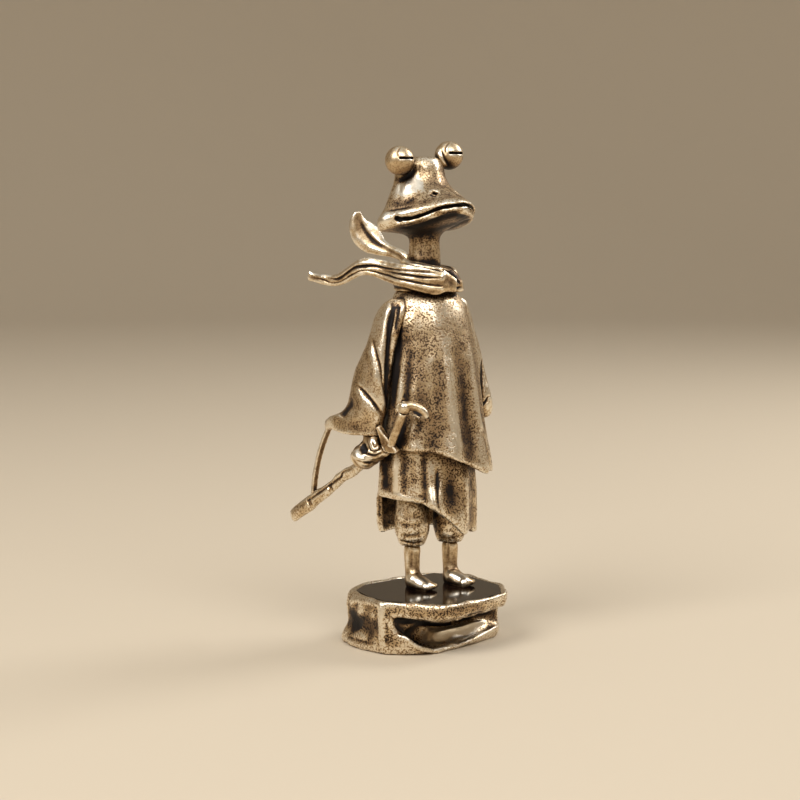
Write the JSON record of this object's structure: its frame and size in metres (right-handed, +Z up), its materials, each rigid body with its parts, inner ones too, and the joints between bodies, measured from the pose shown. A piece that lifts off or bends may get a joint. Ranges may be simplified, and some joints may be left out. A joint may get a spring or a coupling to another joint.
{
  "type": "frog figurine",
  "caption": "Antique brass figurine of a robed frog standing on a rock, with a windblown scarf and a sheathed sword held at its right side.",
  "frame": {"origin": "middle of the rock's flat underside", "axes": "+Z up, the frog faces -Y, its right side is -X"},
  "size_m": [0.0304, 0.0406, 0.0902],
  "materials": {
    "antique_brass": "antiqued, dark in the recesses and buffed on the edges",
    "dark_lacquer": "gloss"
  },
  "bodies": {
    "root": {"rock_base": "antique_brass", "right_foot": "antique_brass", "left_foot": "antique_brass", "right_trouser_leg": "antique_brass", "left_trouser_leg": "antique_brass", "under_robe": "antique_brass", "outer_robe": "antique_brass", "right_sleeve": "antique_brass", "left_sleeve": "antique_brass", "right_hand": "antique_brass", "head": "antique_brass", "right_eye": "antique_brass", "left_eye": "antique_brass", "scarf_wrap": "antique_brass", "scarf_front_tail": "antique_brass", "scarf_back_tail": "antique_brass", "scabbard": "antique_brass", "sword_guard": "antique_brass", "sword_grip": "antique_brass", "sword_pommel": "antique_brass", "sword_strap": "antique_brass", "rock_top_lacquer": "dark_lacquer"}
  },
  "joints": []
}
